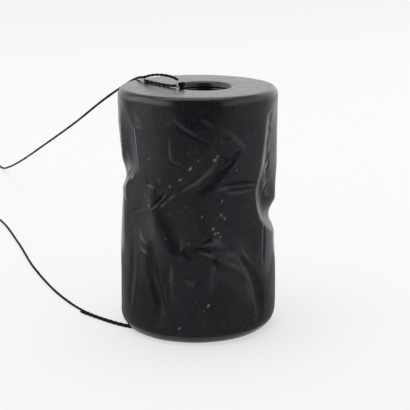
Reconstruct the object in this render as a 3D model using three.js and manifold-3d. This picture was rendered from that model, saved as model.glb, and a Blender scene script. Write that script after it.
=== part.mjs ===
// A cylinder seal of dark stone, standing on one flat end and strung on a fine thread.
// Millimetres, +Z up. The origin lies under the middle of the foot.
// Angles round the seal are in degrees: 0 is the front (-Y) and +90 the right side (+X).

import * as THREE from "three";
import { mergeVertices } from "three/addons/utils/BufferGeometryUtils.js";
import Module from "manifold-3d";

const wasm = await Module();
wasm.setup();

// ---- the stone ----
const HEIGHT = 36.0;
const BODY_RADIUS = 11.72;
const TOP_EDGE = { across: 0.9, down: 1.2 };
const FOOT_EDGE = { across: 1.45, down: 2.4 };
const FOOT_WEAR = { across: 0.9, up: 4.0, angle: 72 };
const BORE_RADIUS = 3.75;
const BORE_OFFSET = 0.85;
const MOUTH = { across: 0.75, down: 0.9 };
const CARVED_FROM = 1.2;
const CARVED_TO = 34.6;

// ---- its facets ----
const AROUND = 76;
const WALL_ROWS = 34;

// ---- the thread ----
const THREAD = 0.36;
const TUBE_SIDES = 8;
const ON_TABLE = 0.2;
const CHANNEL_RADIUS = 0.75;
const CHANNEL_DROP = 0.1;
const KNOT = { at: [-2.35, -1.66, 36.36], wide: 0.55, tall: 0.6 };

const radians = THREE.MathUtils.degToRad;

// ---- carving ----
// A stroke is the path of a round-nosed tool. Along its way it holds
// [angle, height, half width, depth]; across, its section is a soft bowl.

// A person standing upright: head, chest, one arm and two legs.
function standing(angle, hand) {
  const at = (across, height, half, deep) => [angle + hand * across, height, half, deep];
  return [
    [at(0, 31.6, 1.2, 0.7), at(2, 31.0, 1.1, 0.7)],
    [at(0, 28.4, 2.1, 0.8), at(0, 25.8, 1.9, 1.0), at(0, 22.8, 1.5, 0.8)],
    [at(1, 28.0, 0.9, 0.5), at(11, 25.2, 0.8, 0.5), at(17, 28.2, 0.8, 0.4)],
    [at(-2, 20.4, 1.3, 0.6), at(-6, 12.0, 1.2, 0.7), at(-5, 4.6, 0.9, 0.4)],
    [at(2, 20.4, 1.3, 0.6), at(6, 12.0, 1.2, 0.7), at(7, 4.6, 0.9, 0.4)],
  ];
}

// A beast reared on its hind legs: head, body, fore leg and two hind legs.
function reared(angle, hand) {
  const at = (across, height, half, deep) => [angle + hand * across, height, half, deep];
  return [
    [at(-6, 29.6, 1.0, 0.6), at(-2, 28.6, 1.3, 0.7)],
    [at(-2, 26.0, 1.5, 0.8), at(1, 19.5, 2.2, 1.0), at(6, 13.6, 2.0, 0.9)],
    [at(-1, 24.0, 0.8, 0.5), at(-11, 22.0, 0.7, 0.5), at(-12, 19.5, 0.7, 0.3)],
    [at(6, 13.5, 1.2, 0.7), at(2, 8.6, 0.9, 0.6), at(5, 4.0, 0.8, 0.4)],
    [at(8, 13.5, 1.2, 0.7), at(11, 8.6, 0.9, 0.6), at(15, 4.2, 0.8, 0.4)],
  ];
}

const LEFT_FIGURE = [
  // chest, running round to the deep waist at the left outline
  [[-60, 32.5, 2.4, 0.15], [-61, 29, 3, 0.35], [-62, 26.6, 3.2, 0.6], [-70, 24.4, 2.6, 0.9],
    [-88, 22.8, 2.4, 1.05], [-104, 22.4, 2, 0.8]],
  [[-90, 31, 4, 0.1], [-90, 28.4, 5, 0.35], [-92, 26.2, 5.2, 0.85], [-93, 24, 4.6, 1.1],
    [-94, 22.2, 3.8, 1.2]],
  [[-92, 20.4, 5.2, 0.95], [-92, 18, 5.4, 0.5], [-92, 14, 5.4, 0.22], [-92, 8, 5, 0.15],
    [-92, 4, 4.6, 0.05]],
  // lower legs
  [[-53, 14.4, 0.8, 0.15], [-53.5, 12, 1, 0.3], [-55, 9, 1, 0.3], [-57.5, 5.4, 0.9, 0.1]],
  [[-34, 14.6, 0.8, 0.3], [-34, 12.4, 1.1, 0.65], [-33, 10, 1.3, 0.75], [-30, 7.6, 1.3, 0.75],
    [-27.8, 5.6, 1.1, 0.5], [-28, 3.2, 0.8, 0.15]],
];
const BEASTS = [
  // the broad groove between the two bodies
  [[-29, 21.6, 1.2, 0.2], [-25, 20, 2.1, 0.6], [-20, 17.8, 2.3, 0.75], [-14, 15.6, 1.8, 0.55],
    [-9, 14.8, 1, 0.1]],
  // the hollow under the blade
  [[-2, 22.9, 1.3, 0.15], [5, 23.7, 1.7, 0.35], [11, 25.1, 1.7, 0.5], [17, 26.4, 1.4, 0.5],
    [23, 27, 1, 0.3]],
  // the right beast's chest and belly
  [[4, 21.6, 4.6, 0.18], [17, 20.6, 5, 0.3], [30, 18.2, 4.4, 0.34], [40, 14.2, 2, 0.55],
    [41, 12.4, 1, 0.2]],
  // the field below, between the legs
  [[-13, 11.4, 2.6, 0.2], [-3, 11.6, 2.8, 0.25], [7, 11.4, 2.4, 0.2]],
  // its hind leg
  [[32, 12.6, 0.8, 0.25], [37, 10.9, 1, 0.5], [44, 8.6, 1.2, 0.8], [49.5, 6.2, 1.2, 0.75],
    [52, 3.4, 0.9, 0.2]],
];
const RIGHT_FIGURE = [
  // back and waist, and round to the right outline
  [[56, 31.6, 1.6, 0.4], [57, 28.6, 2, 0.7], [56, 25, 2.1, 0.8], [54.5, 22, 2.2, 0.85],
    [59, 19.4, 2.5, 0.95], [72, 17.6, 2.7, 1.1], [92, 16.8, 2.8, 1.2], [112, 16.8, 2.4, 0.9]],
  [[64, 31, 3, 0.3], [66, 27, 3.4, 0.45], [64, 23, 3, 0.45]],
  [[90, 20.8, 4.4, 0.25], [92, 14, 5, 0.4], [92, 9.5, 5, 0.12], [92, 4.6, 4.4, 0.08]],
];

const STROKES = [
  ...LEFT_FIGURE,
  ...BEASTS,
  ...RIGHT_FIGURE,
  ...standing(134, 1),
  ...reared(165, 1),
  ...standing(-163, -1),
  ...reared(-130, -1),
];

// The depth of one stroke at a place: deepest on its route, nothing at its half width.
function strokeDepth(angle, height, path) {
  let least = 1;
  let depth = 0;
  for (let i = 0; i < path.length - 1; i += 1) {
    const [angleA, heightA, halfA, deepA] = path[i];
    const [angleB, heightB, halfB, deepB] = path[i + 1];
    const turned = THREE.MathUtils.euclideanModulo(angle - angleA + 180, 360) - 180;
    const x = radians(turned) * BODY_RADIUS;
    const y = height - heightA;
    const alongX = radians(angleB - angleA) * BODY_RADIUS;
    const alongY = heightB - heightA;
    const length2 = alongX * alongX + alongY * alongY;
    const t = THREE.MathUtils.clamp((x * alongX + y * alongY) / length2, 0, 1);
    const away = Math.hypot(x - t * alongX, y - t * alongY);
    const share = away / THREE.MathUtils.lerp(halfA, halfB, t);
    if (share < least) {
      least = share;
      depth = THREE.MathUtils.lerp(deepA, deepB, t) * (1 - share * share) ** 1.5;
    }
  }
  return depth;
}

// The depth of all the strokes together: their soft maximum.
function carvedDepth(angle, height) {
  let sum = 0;
  for (const path of STROKES) {
    sum += strokeDepth(angle, height, path) ** 3;
  }
  const low = THREE.MathUtils.smoothstep(height, CARVED_FROM, CARVED_FROM + 2);
  const high = 1 - THREE.MathUtils.smoothstep(height, CARVED_TO - 2, CARVED_TO);
  return Math.cbrt(sum) * low * high;
}

// The foot is worn rounder toward one side, by a second, larger quarter ellipse.
function wornDepth(angle, height) {
  const side = 0.5 + 0.5 * Math.cos(radians(angle - FOOT_WEAR.angle));
  const low = THREE.MathUtils.clamp(1 - height / FOOT_WEAR.up, 0, 1);
  return FOOT_WEAR.across * side ** 1.5 * (1 - Math.sqrt(1 - 0.96 * low * low));
}

// ---- the stone's section ----
// Each station of the section holds its radius, its height, and how far it has
// moved over to the bore's own axis (0 on the outside, 1 in the bore).
function roundedCorner(middle, across, down, fromDegrees, toDegrees, steps, moved) {
  const stations = [];
  for (let i = 0; i <= steps; i += 1) {
    const a = radians(THREE.MathUtils.lerp(fromDegrees, toDegrees, i / steps));
    const r = middle[0] + across * Math.cos(a);
    const z = middle[1] + down * Math.sin(a);
    stations.push({ r, z, moved });
  }
  return stations;
}

function sectionOfSeal() {
  const footMiddle = [BODY_RADIUS - FOOT_EDGE.across, FOOT_EDGE.down];
  const topMiddle = [BODY_RADIUS - TOP_EDGE.across, HEIGHT - TOP_EDGE.down];
  const highMouth = [BORE_RADIUS + MOUTH.across, HEIGHT - MOUTH.down];
  const lowMouth = [BORE_RADIUS + MOUTH.across, MOUTH.down];
  const wall = [];
  for (let i = 1; i < WALL_ROWS; i += 1) {
    const z = THREE.MathUtils.lerp(footMiddle[1], topMiddle[1], i / WALL_ROWS);
    wall.push({ r: BODY_RADIUS, z, moved: 0 });
  }
  const outerFace = BODY_RADIUS - TOP_EDGE.across;
  const innerFace = BORE_RADIUS + MOUTH.across;
  const halfway = (outerFace + innerFace) / 2;
  const section = [
    ...roundedCorner(footMiddle, FOOT_EDGE.across, FOOT_EDGE.down, -90, 0, 4, 0),
    ...wall,
    ...roundedCorner(topMiddle, TOP_EDGE.across, TOP_EDGE.down, 0, 90, 3, 0),
    { r: halfway, z: HEIGHT, moved: 0.5 },
    ...roundedCorner(highMouth, MOUTH.across, MOUTH.down, 90, 180, 3, 1),
    { r: BORE_RADIUS, z: HEIGHT / 2, moved: 1 },
    ...roundedCorner(lowMouth, MOUTH.across, MOUTH.down, 180, 270, 3, 1),
    { r: halfway, z: 0, moved: 0.5 },
  ];
  section.push({ ...section[0] });
  return section;
}

function sealBlank() {
  const section = sectionOfSeal();
  const profile = section.map((station) => new THREE.Vector2(station.r, station.z));
  const geometry = new THREE.LatheGeometry(profile, AROUND);
  geometry.rotateX(Math.PI / 2);
  const position = geometry.attributes.position;
  for (let i = 0; i < position.count; i += 1) {
    const station = section[i % section.length];
    const turn = Math.floor(i / section.length) % AROUND;
    const angle = (360 * turn) / AROUND;
    const outside = station.moved === 0;
    const cut = carvedDepth(angle, station.z) + wornDepth(angle, station.z);
    const r = station.r - (outside ? cut : 0);
    const x = r * Math.sin(radians(angle)) + BORE_OFFSET * station.moved;
    const y = -r * Math.cos(radians(angle));
    position.setXYZ(i, x, y, station.z);
  }
  return geometry;
}

// ---- boolean work ----
function welded(geometry) {
  const bare = geometry.clone();
  bare.deleteAttribute("normal");
  bare.deleteAttribute("uv");
  return mergeVertices(bare, 1e-4);
}

function toSolid(geometry) {
  const closed = welded(geometry);
  const vertProperties = new Float32Array(closed.attributes.position.array);
  const triVerts = new Uint32Array(closed.index.array);
  return new wasm.Manifold(new wasm.Mesh({ numProp: 3, vertProperties, triVerts }));
}

function fromSolid(solid) {
  const mesh = solid.getMesh();
  const geometry = new THREE.BufferGeometry();
  geometry.setAttribute("position", new THREE.BufferAttribute(mesh.vertProperties, 3));
  geometry.setIndex(new THREE.BufferAttribute(mesh.triVerts, 1));
  geometry.computeVertexNormals();
  return geometry;
}

// ---- tubes ----
// The curve steps evenly from control point to control point, so that close
// points give short facets in the tight bends.
class ThreadPath extends THREE.CatmullRomCurve3 {
  getUtoTmapping(u) {
    return u;
  }
}

function tubeAlong(points, radius, steps, sides = TUBE_SIDES) {
  const route = new ThreadPath(points.map((p) => new THREE.Vector3(...p)), false, "centripetal");
  const corners = [];
  for (let i = 0; i < sides; i += 1) {
    const a = (2 * Math.PI * i) / sides;
    corners.push(new THREE.Vector2(radius * Math.cos(a), radius * Math.sin(a)));
  }
  const section = new THREE.Shape(corners);
  return new THREE.ExtrudeGeometry(section, { steps, extrudePath: route });
}

// ---- the thread's routes ----
// One ring of thread: it leaves the knot on the lip of the bore, goes over the
// rim, sags to the table, comes back to the foot, runs in the worn channel
// under it and rises inside the bore to the knot again.
const RING = [
  [-2.85, -1.25, 37.02], [-3.5, -0.58, 37.28], [-4.4, 0.4, 37.4], [-5.3, 1.4, 37.38],
  [-6.2, 2.4, 37.25], [-7.15, 3.45, 36.98], [-8.05, 4.6, 36.58], [-8.85, 5.9, 36.32],
  [-9.9, 8.35, 35.6], [-11.25, 11.7, 34.4], [-15.5, 22.4, 30.3], [-22.5, 40.5, 22.9],
  [-31.0, 62.3, 14.4], [-39.3, 83.4, 6.3], [-43.6, 94.4, 2.5], [-46.5, 101.8, 0.5],
  [-49.4, 108.2, ON_TABLE], [-55.6, 113.4, ON_TABLE], [-62.4, 109.8, ON_TABLE],
  [-62.8, 98.4, ON_TABLE], [-55.4, 81.4, ON_TABLE], [-46.0, 66.6, ON_TABLE],
  [-39.8, 56.9, ON_TABLE], [-33.6, 40.4, ON_TABLE], [-28.6, 25.2, ON_TABLE],
  [-22.4, 10.6, ON_TABLE], [-17.4, 2.5, ON_TABLE], [-12.9, -1.8, ON_TABLE],
  [-10.4, -3.5, ON_TABLE], [-8.4, -4.25, ON_TABLE], [-6.2, -3.95, ON_TABLE],
  [-4.2, -2.95, ON_TABLE], [-2.96, -2.0, ON_TABLE], [-2.47, -1.74, 0.38], [-2.16, -1.58, 0.9],
  [-2.1, -1.55, 2.0], [-2.1, -1.55, 18.0], [-2.15, -1.56, 33.0], [-2.25, -1.6, 35.55],
];
// The eye's second strand, which lies on the top from the knot to the rim.
const EYE = [
  [-3.02, -1.92, 36.3], [-3.7, -1.6, 36.24], [-4.5, -0.75, 36.21],
  [-5.75, 0.75, 36.2], [-7.0, 2.5, 36.2], [-8.0, 3.95, 36.2],
];
// The free end beside the lower strand, tucked under the foot.
const TAIL = [
  [-18.4, 2.9, ON_TABLE], [-15.4, -0.05, ON_TABLE], [-13.1, -2.12, ON_TABLE],
  [-10.55, -3.86, ON_TABLE], [-8.45, -4.64, ON_TABLE], [-6.9, -4.52, ON_TABLE],
];
// The worn channel under the foot.
const CHANNEL = [
  [-13.2, -1.6], [-12.0, -2.6], [-10.45, -3.65], [-8.42, -4.42],
  [-6.2, -4.1], [-4.2, -3.0], [-2.8, -2.0], [-2.1, -1.55],
].map(([x, y]) => [x, y, -CHANNEL_DROP]);

// ---- materials ----
const stone = new THREE.MeshStandardMaterial({ color: "#2b2a2d", roughness: 0.38, metalness: 0 });
const thread = new THREE.MeshStandardMaterial({ color: "#15120f", roughness: 0.9, metalness: 0 });

// ---- the scene ----
const group = new THREE.Group();

function add(name, geometry, material) {
  const mesh = new THREE.Mesh(geometry, material);
  mesh.name = name;
  group.add(mesh);
}

const channel = toSolid(tubeAlong(CHANNEL, CHANNEL_RADIUS, 14, 10));
add("seal", fromSolid(toSolid(sealBlank()).subtract(channel)), stone);

add("thread_ring", tubeAlong(RING, THREAD / 2, 56), thread);
add("thread_eye", tubeAlong(EYE, THREAD / 2, 9), thread);
add("thread_tail", tubeAlong(TAIL, THREAD / 2, 9), thread);

const knot = new THREE.SphereGeometry(KNOT.wide, 12, 8);
knot.rotateX(Math.PI / 2);
knot.scale(1, 1, KNOT.tall / KNOT.wide);
knot.translate(...KNOT.at);
add("thread_knot", knot, thread);

export default group;
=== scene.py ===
# %% [markdown]
# # A cylinder seal of dark stone on its thread
#
# A cylinder seal is a bead as long as a thumb joint. It was rolled over wet
# clay, so its picture is cut into the stone and reads as a row of hollows.
# This one is old and worn: its rims are round, its hollows have soft edges, and
# it shines like a pebble that was carried for years. A fine black thread runs
# through the bore and ties the seal to nothing but itself.
#
# The lesson starts from a finished construction, which gives the true sizes.
# Everything is in metres, with +Z up, and the carved side faces -Y.

import bpy
import numpy as np
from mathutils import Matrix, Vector


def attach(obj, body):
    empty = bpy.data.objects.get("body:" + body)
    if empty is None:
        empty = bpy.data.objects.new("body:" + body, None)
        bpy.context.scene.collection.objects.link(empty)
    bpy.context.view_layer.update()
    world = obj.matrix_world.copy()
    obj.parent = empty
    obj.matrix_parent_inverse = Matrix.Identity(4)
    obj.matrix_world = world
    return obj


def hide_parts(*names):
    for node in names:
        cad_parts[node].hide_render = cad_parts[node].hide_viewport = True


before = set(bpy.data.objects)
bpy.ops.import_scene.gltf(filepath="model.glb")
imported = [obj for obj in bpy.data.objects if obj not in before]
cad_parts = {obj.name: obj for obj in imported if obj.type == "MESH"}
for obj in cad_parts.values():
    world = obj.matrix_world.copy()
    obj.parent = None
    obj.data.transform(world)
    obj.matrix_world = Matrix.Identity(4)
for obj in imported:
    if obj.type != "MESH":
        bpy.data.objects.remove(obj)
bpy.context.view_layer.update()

# %% [markdown]
# ## The camera
#
# A small thing is best seen from a little way off through a long lens, so that
# its sides stay parallel. The camera looks down about fifteen degrees: enough to
# open the top face into a narrow ellipse. Its place is given first, because the
# size of the finest detail follows from what it can see.

# %% Camera
EYE_POINT = Vector((0.00103, -0.17360, 0.06332))
AIM_POINT = Vector((0.00103, 0.0, 0.01804))

camera_data = bpy.data.cameras.new("camera")
camera_data.sensor_width = 36.0
camera_data.lens = 105.4
camera_data.clip_start = 0.005
camera_data.clip_end = 20.0
camera = bpy.data.objects.new("camera", camera_data)
camera.location = EYE_POINT
camera.rotation_mode = "QUATERNION"
camera.rotation_quaternion = (AIM_POINT - EYE_POINT).to_track_quat("-Z", "Y")
bpy.context.scene.collection.objects.link(camera)
bpy.context.scene.camera = camera
print("camera", round((EYE_POINT - AIM_POINT).length * 1000), "mm from the seal")

# %% [markdown]
# ## From arrays to a mesh
#
# Every new surface here is a grid of points: rows along one parameter, columns
# round another. One helper gives the faces of such a grid, with its columns closed
# into a ring and its rows closed too if asked. Another turns the arrays into a mesh.

# %% Grid to mesh
MM = 0.001


def grid_faces(rows, columns, close_rows=False):
    """Quads between neighbours of a rows x columns grid: each face joins a point, the
    next in its row, and the two below them. The last column joins the first, and the last
    row does so too if close_rows is true."""
    r = np.arange(rows if close_rows else rows - 1)
    r, c = np.meshgrid(r, np.arange(columns), indexing="ij")
    r, c = r.ravel(), c.ravel()
    down, along = (r + 1) % rows, (c + 1) % columns
    return np.stack([r * columns + c, r * columns + along, down * columns + along, down * columns + c], 1)


def mesh_object(name, points, quads, smooth=True, triangles=None):
    """A mesh object at the origin from an array of points in metres and arrays of faces."""
    mesh = bpy.data.meshes.new(name)
    corners = quads.ravel()
    sizes = np.full(len(quads), 4)
    if triangles is not None and len(triangles):
        corners = np.concatenate([corners, triangles.ravel()])
        sizes = np.concatenate([sizes, np.full(len(triangles), 3)])
    mesh.vertices.add(len(points))
    mesh.vertices.foreach_set("co", np.asarray(points, np.float32).ravel())
    mesh.loops.add(len(corners))
    mesh.loops.foreach_set("vertex_index", corners.astype(np.int32))
    mesh.polygons.add(len(sizes))
    mesh.polygons.foreach_set("loop_start", (np.cumsum(sizes) - sizes).astype(np.int32))
    mesh.polygons.foreach_set("loop_total", sizes.astype(np.int32))
    mesh.update(calc_edges=True)
    mesh.validate()
    mesh.polygons.foreach_set("use_smooth", np.full(len(mesh.polygons), smooth))
    made = bpy.data.objects.new(name, mesh)
    bpy.context.scene.collection.objects.link(made)
    print(name, "has", int((sizes - 2).sum()), "triangles")
    return made


# %% [markdown]
# ## A smooth route through chosen points
#
# Both the thread and the engraver's strokes are smooth curves through a few
# given points. A centripetal Catmull-Rom curve passes through every
# point and never loops back on itself between two close ones, so it suits both.

# %% Smooth routes
def smooth_route(points, per_span):
    """Centripetal Catmull-Rom: knots are spaced by the square root of the distance between
    points, and each span is the blend of its two neighbouring straight lines, twice over."""
    p = np.asarray(points, float)
    p = np.vstack([2 * p[0] - p[1], p, 2 * p[-1] - p[-2]])
    gaps = np.sqrt(np.linalg.norm(np.diff(p[:, :3], axis=0), axis=1))
    knots = np.concatenate([[0], np.cumsum(gaps)])
    spans = len(p) - 3
    u = np.linspace(0, 1, per_span, endpoint=False)
    i = np.repeat(np.arange(spans), per_span)
    t = knots[i + 1] + np.tile(u, spans) * (knots[i + 2] - knots[i + 1])
    i = np.append(i, spans - 1)
    t = np.append(t, knots[spans + 1])[:, None]
    k0, k1, k2, k3 = (knots[i + n][:, None] for n in range(4))
    p0, p1, p2, p3 = (p[i + n] for n in range(4))
    a1 = ((k1 - t) * p0 + (t - k0) * p1) / (k1 - k0)
    a2 = ((k2 - t) * p1 + (t - k1) * p2) / (k2 - k1)
    a3 = ((k3 - t) * p2 + (t - k2) * p3) / (k3 - k2)
    b1 = ((k2 - t) * a1 + (t - k0) * a2) / (k2 - k0)
    b2 = ((k3 - t) * a2 + (t - k1) * a3) / (k3 - k1)
    return ((k2 - t) * b1 + (t - k1) * b2) / (k2 - k1)


def evenly(points, step):
    """The same line as points spaced evenly by about step along its length."""
    run = np.concatenate([[0], np.cumsum(np.linalg.norm(np.diff(points[:, :3], axis=0), axis=1))])
    at = np.linspace(0, run[-1], max(2, int(round(run[-1] / step)) + 1))
    return np.stack([np.interp(at, run, points[:, n]) for n in range(points.shape[1])], 1)


# %% [markdown]
# ## The thread's facts
#
# A thread has no shape of its own: it has a length, a thickness and a twist, and
# gravity and the table do the rest. This is a fine two-ply sewing thread, a
# little over a third of a millimetre thick and 314 millimetres round, knotted into
# a ring. The knot sits on the lip of the bore. From there the ring makes a small
# eye on the top face, slips over the rim, sags to the table, turns, and comes
# back to the foot, where a worn channel lets it pass under the stone and up the
# bore. The points below are the construction's own, in metres.

# %% Thread routes
ON_TABLE = 0.2
RING = MM * np.array([
    [-2.85, -1.25, 37.02], [-3.5, -0.58, 37.28], [-4.4, 0.4, 37.4], [-5.3, 1.4, 37.38],
    [-6.2, 2.4, 37.25], [-7.15, 3.45, 36.98], [-8.05, 4.6, 36.58], [-8.85, 5.9, 36.32],
    [-9.9, 8.35, 35.6], [-11.25, 11.7, 34.4], [-15.5, 22.4, 30.3], [-22.5, 40.5, 22.9],
    [-31.0, 62.3, 14.4], [-39.3, 83.4, 6.3], [-43.6, 94.4, 2.5], [-46.5, 101.8, 0.5],
    [-49.4, 108.2, ON_TABLE], [-55.6, 113.4, ON_TABLE], [-62.4, 109.8, ON_TABLE],
    [-62.8, 98.4, ON_TABLE], [-55.4, 81.4, ON_TABLE], [-46.0, 66.6, ON_TABLE],
    [-39.8, 56.9, ON_TABLE], [-33.6, 40.4, ON_TABLE], [-28.6, 25.2, ON_TABLE],
    [-22.4, 10.6, ON_TABLE], [-17.4, 2.5, ON_TABLE], [-12.9, -1.8, ON_TABLE],
    [-10.4, -3.5, ON_TABLE], [-8.4, -4.25, ON_TABLE], [-6.2, -3.95, ON_TABLE],
    [-4.2, -2.95, ON_TABLE], [-2.96, -2.0, ON_TABLE], [-2.47, -1.74, 0.38], [-2.16, -1.58, 0.9],
    [-2.1, -1.55, 2.0], [-2.1, -1.55, 18.0], [-2.15, -1.56, 33.0], [-2.25, -1.6, 35.55],
])
EYE_STRAND = MM * np.array([
    [-3.02, -1.92, 36.3], [-3.7, -1.6, 36.24], [-4.5, -0.75, 36.21],
    [-5.75, 0.75, 36.2], [-7.0, 2.5, 36.2], [-8.0, 3.95, 36.2],
])
TAIL = MM * np.array([
    [-18.4, 2.9, ON_TABLE], [-15.4, -0.05, ON_TABLE], [-13.1, -2.12, ON_TABLE],
    [-10.55, -3.86, ON_TABLE], [-8.45, -4.64, ON_TABLE], [-6.9, -4.52, ON_TABLE],
])
KNOT_AT = MM * np.array([-2.35, -1.66, 36.36])


def length_of(line):
    """The sum of the straight steps between neighbouring points."""
    return float(np.linalg.norm(np.diff(line, axis=0), axis=1).sum())


ring_line = evenly(smooth_route(RING, 24), 0.00012)
eye_line = evenly(smooth_route(EYE_STRAND, 24), 0.00012)
tail_line = evenly(smooth_route(TAIL, 24), 0.00012)
print("ring of thread:", round(length_of(ring_line) * 1000), "mm")

# %% [markdown]
# ## Two plies twisted together
#
# The simplest twisted thread is one tube whose section is a rounded figure of
# eight, turned a little further at each step. Light then catches each ply in turn
# and the outline swells and narrows, as a real two-ply thread's does. The section
# needs a frame that travels along the line without spinning by itself: each
# new side direction is the last one with its part along the line taken out.

# %% Twisted thread
THREAD_WIDTH = 0.00036
THREAD_PITCH = 0.0021
PLY_SIDES = 12


def travelling_frame(line):
    """Unit tangents by central differences; unit sides made by carrying one direction
    along the line and removing its part along each tangent."""
    tangent = np.gradient(line, axis=0)
    tangent /= np.linalg.norm(tangent, axis=1)[:, None]
    side = np.empty_like(tangent)
    carried = np.cross(tangent[0], [0.0, 0.1, 1.0])
    for n, along in enumerate(tangent):
        carried = carried - along * carried.dot(along)
        carried /= np.linalg.norm(carried)
        side[n] = carried
    return tangent, side, np.cross(tangent, side)


def twisted_thread(name, line, width=THREAD_WIDTH, pitch=THREAD_PITCH, closed=False, taper=0.0):
    """Point = line + radius(a) * (cos a * side + sin a * other), where a is the angle round the
    thread and radius(a) = width/2 * (0.8 + 0.36 |cos(a - turn)|), turn growing by one full
    turn in each pitch. A taper draws the ends in over that length."""
    _, side, other = travelling_frame(line)
    run = np.concatenate([[0], np.cumsum(np.linalg.norm(np.diff(line, axis=0), axis=1))])
    a = np.linspace(0, 2 * np.pi, PLY_SIDES, endpoint=False)
    turn = 2 * np.pi * run / pitch
    swell = 0.8 + 0.36 * np.abs(np.cos(a[None, :] - turn[:, None]))
    uneven = 1 + 0.05 * np.sin(run / 0.0031) * np.sin(run / 0.0013 + 1.0)
    radius = width / 2 * swell * uneven[:, None]
    if taper:
        ends = np.minimum(run, run[-1] - run) / taper
        radius = radius * np.sqrt(np.clip(ends, 0.02, 1))[:, None]
    around = side[:, None, :] * np.cos(a)[None, :, None] + other[:, None, :] * np.sin(a)[None, :, None]
    points = line[:, None, :] + radius[:, :, None] * around
    rows = len(line)
    quads = grid_faces(rows, PLY_SIDES, close_rows=closed)
    points = points.reshape(-1, 3)
    caps = None
    if not closed:
        first, last = len(points), len(points) + 1
        points = np.vstack([points, line[:1], line[-1:]])
        c = np.arange(PLY_SIDES)
        n = (c + 1) % PLY_SIDES
        start = np.stack([np.full(PLY_SIDES, first), n, c], 1)
        base = (rows - 1) * PLY_SIDES
        end = np.stack([np.full(PLY_SIDES, last), base + c, base + n], 1)
        caps = np.vstack([start, end])
    return mesh_object(name, points, quads, triangles=caps)


ring_piece = twisted_thread("thread_ring_twisted", ring_line, taper=0.0001)
eye_piece = twisted_thread("thread_eye_twisted", eye_line, taper=0.0001)
tail_piece = twisted_thread("thread_tail_twisted", tail_line, taper=0.0006)

# %% [markdown]
# ## The knot
#
# A small overhand knot pulled tight is a trefoil: the line goes twice round while
# it weaves three times up and down. Its curve has a short formula, and the same
# twisted thread is carried along it.

# %% Knot
def trefoil(scale, tall, count):
    """x = sin t + 2 sin 2t, y = cos t - 2 cos 2t, z = - sin 3t, each scaled."""
    t = np.linspace(0, 2 * np.pi, count, endpoint=False)
    x = np.sin(t) + 2 * np.sin(2 * t)
    y = np.cos(t) - 2 * np.cos(2 * t)
    z = -np.sin(3 * t)
    return np.stack([x * scale, z * tall, y * scale], 1)


KNOT_SIZE, KNOT_HEIGHT, KNOT_STEPS = 0.000135, 0.00016, 120
knot_line = KNOT_AT + trefoil(KNOT_SIZE, KNOT_HEIGHT, KNOT_STEPS)
knot_piece = twisted_thread("thread_knot_tied", knot_line, width=0.00030, pitch=0.00062, closed=True)

# %% [markdown]
# ## The thread's pieces
#
# Four meshes make up one thread. Each takes the place of its plain tube in the
# construction, which is hidden, and all four are hung from the root.

# %% Thread pieces
THREAD_PIECES = {
    "thread_ring": ring_piece,
    "thread_eye": eye_piece,
    "thread_tail": tail_piece,
    "thread_knot": knot_piece,
}
for plain_node, piece in THREAD_PIECES.items():
    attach(piece, "root")
    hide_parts(plain_node)

print("declared a thread of", round(length_of(ring_line) * 1000), "mm")

# %% [markdown]
# ## The seal's blank
#
# Before the picture was cut the seal was a plain cylinder with round rims and a
# hole drilled a little off its middle. The blank is a closed section carried
# round the axis: up the outside, in over the top, down the bore and out under
# the foot. Columns are closer together on the side with the finest work.

# %% Blank
HEIGHT, BODY_RADIUS = 36.0, 11.72
TOP_EDGE, FOOT_EDGE = (0.9, 1.2), (1.45, 2.4)
BORE_RADIUS, BORE_OFFSET, MOUTH = 3.75, 0.85, (0.75, 0.9)


def corner(middle, across, down, start, stop, count, moved):
    """A quarter of an ellipse as rows of (radius, height, moved)."""
    a = np.radians(np.linspace(start, stop, count))
    ring = np.stack([middle[0] + across * np.cos(a), middle[1] + down * np.sin(a)], 1)
    return np.column_stack([ring, np.full(count, moved)])


def seal_section(wall_rows):
    """Rows of (radius, height, moved); moved is 0 outside and 1 in the bore, whose axis
    stands BORE_OFFSET to the right of the seal's own."""
    foot = corner((BODY_RADIUS - FOOT_EDGE[0], FOOT_EDGE[1]), *FOOT_EDGE, -90, 0, 12, 0)
    top = corner((BODY_RADIUS - TOP_EDGE[0], HEIGHT - TOP_EDGE[1]), *TOP_EDGE, 0, 90, 9, 0)
    z = np.linspace(FOOT_EDGE[1], HEIGHT - TOP_EDGE[1], wall_rows + 2)[1:-1]
    wall = np.column_stack([np.full(wall_rows, BODY_RADIUS), z, np.zeros(wall_rows)])
    r_in, r_out = BORE_RADIUS + MOUTH[0], BODY_RADIUS - TOP_EDGE[0]
    s = np.linspace(0, 1, 8)[1:-1]
    face = np.column_stack([r_out + (r_in - r_out) * s, np.full(6, HEIGHT), s])
    mouth_top = corner((r_in, HEIGHT - MOUTH[1]), *MOUTH, 90, 180, 7, 1)
    z = np.linspace(HEIGHT - MOUTH[1], MOUTH[1], 10)[1:-1]
    bore = np.column_stack([np.full(8, BORE_RADIUS), z, np.ones(8)])
    mouth_foot = corner((r_in, MOUTH[1]), *MOUTH, 180, 270, 7, 1)
    r_out = BODY_RADIUS - FOOT_EDGE[0]
    s = np.linspace(0, 1, 20)[1:-1]
    under = np.column_stack([r_in + (r_out - r_in) * s, np.zeros(18), 1 - s])
    return np.vstack([foot, wall, top, face, mouth_top, bore, mouth_foot, under])


CARVED_SIDE = 100


def column_angles(fine, coarse):
    """Degrees round the seal: fine columns as far as CARVED_SIDE each way, coarse ones
    round the back."""
    front = np.linspace(-CARVED_SIDE, CARVED_SIDE, fine, endpoint=False)
    back = np.linspace(CARVED_SIDE, 360 - CARVED_SIDE, coarse, endpoint=False)
    return np.concatenate([front, back])


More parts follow.
